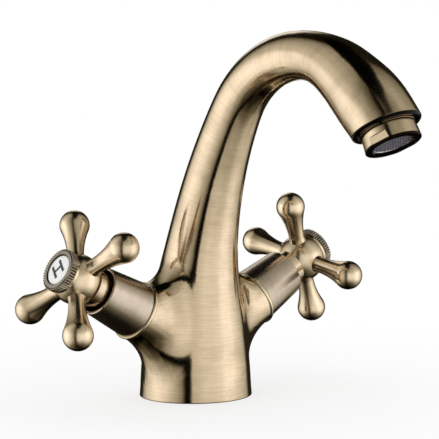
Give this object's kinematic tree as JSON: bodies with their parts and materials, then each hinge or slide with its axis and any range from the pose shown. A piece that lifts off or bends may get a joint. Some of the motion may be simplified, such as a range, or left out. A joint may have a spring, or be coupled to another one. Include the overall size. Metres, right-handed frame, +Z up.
{
  "type": "cross handle basin mixer tap",
  "caption": "One-hole basin mixer in antique brass: arched fixed spout with aerator, two angled quarter-turn valves with ball-ended cross handles.",
  "frame": {"origin": "centre of the base on the deck", "axes": "+Z up, spout towards -Y, hot handle on -X and cold handle on +X"},
  "size_m": [0.1715, 0.1754, 0.1658],
  "materials": {
    "antique_brass": "satin, brushed round the form, aged brown in the hollows",
    "bright_brass": "polished",
    "aged_silver_brass": "knurled, dark in the grooves",
    "raw_brass": "as machined",
    "spring_steel": "plain",
    "valve_ceramic": "lapped",
    "white_enamel": "gloss",
    "black_rubber": "matt",
    "white_plastic": "matt",
    "grey_plastic": "matt",
    "red_fibre": "matt"
  },
  "bodies": {
    "tap_body": {"body": "antique_brass", "base_seal": "black_rubber", "aerator_shell": "antique_brass", "aerator_screen": "grey_plastic", "aerator_insert": "white_plastic", "aerator_strainer": "white_plastic", "aerator_washer": "black_rubber", "hot_trim_ring": "bright_brass", "hot_shroud": "antique_brass", "hot_cartridge": "raw_brass", "hot_face_washer": "red_fibre", "hot_seat_seal": "black_rubber", "hot_fixed_disc": "valve_ceramic", "hot_thrust_washer": "white_plastic", "cold_trim_ring": "bright_brass", "cold_shroud": "antique_brass", "cold_cartridge": "raw_brass", "cold_face_washer": "red_fibre", "cold_seat_seal": "black_rubber", "cold_fixed_disc": "valve_ceramic", "cold_thrust_washer": "white_plastic"},
    "hot_handle": {"hot_moving_disc": "valve_ceramic", "hot_spindle": "raw_brass", "hot_spindle_o_rings": "black_rubber", "hot_spindle_clip": "spring_steel", "hot_handle": "antique_brass", "hot_handle_screw": "spring_steel", "hot_index_cap": "aged_silver_brass", "hot_index_disc": "white_enamel"},
    "cold_handle": {"cold_moving_disc": "valve_ceramic", "cold_spindle": "raw_brass", "cold_spindle_o_rings": "black_rubber", "cold_spindle_clip": "spring_steel", "cold_handle": "antique_brass", "cold_handle_screw": "spring_steel", "cold_index_cap": "aged_silver_brass", "cold_index_disc": "white_enamel"}
  },
  "joints": [
    {"name": "hot_turn", "type": "hinge", "parent": "tap_body", "child": "hot_handle", "pos_m": [-0.06659, 0, 0.05881], "axis": [-0.8878, 0, 0.4602], "range_deg": [0, 90]},
    {"name": "cold_turn", "type": "hinge", "parent": "tap_body", "child": "cold_handle", "pos_m": [0.06659, 0, 0.05881], "axis": [-0.8878, 0, -0.4602], "range_deg": [0, 90]}
  ]
}
